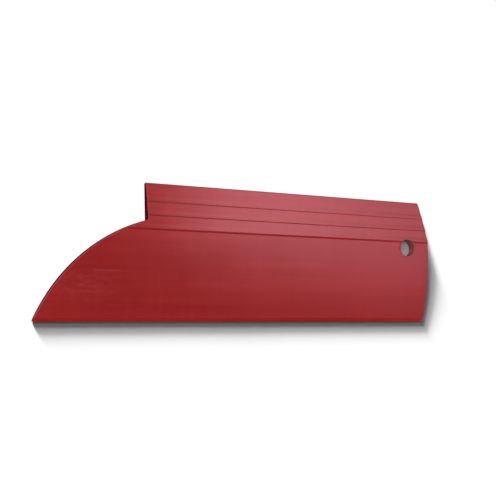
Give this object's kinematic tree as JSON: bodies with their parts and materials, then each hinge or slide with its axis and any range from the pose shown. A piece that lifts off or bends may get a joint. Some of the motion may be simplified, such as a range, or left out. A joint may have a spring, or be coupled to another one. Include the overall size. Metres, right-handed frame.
{
  "type": "squeegee applicator",
  "caption": "Rigid hand squeegee for smoothing vinyl film: a tapered blade with a thin straight working edge, a pointed curved tip, a ribbed grip and a hanging hole.",
  "frame": {"origin": "centre of the bounding box's footprint, on the flat back face that the blade lies on", "axes": "+X along the blade from the pointed tip to the hanging hole's end, +Y from the thin working edge to the top of the grip, +Z out of the ribbed front face"},
  "size_m": [0.305, 0.089, 0.0067],
  "materials": {
    "red_plastic": "satin gloss, extruded"
  },
  "bodies": {
    "root": {"squeegee_blade": "red_plastic"}
  },
  "joints": []
}
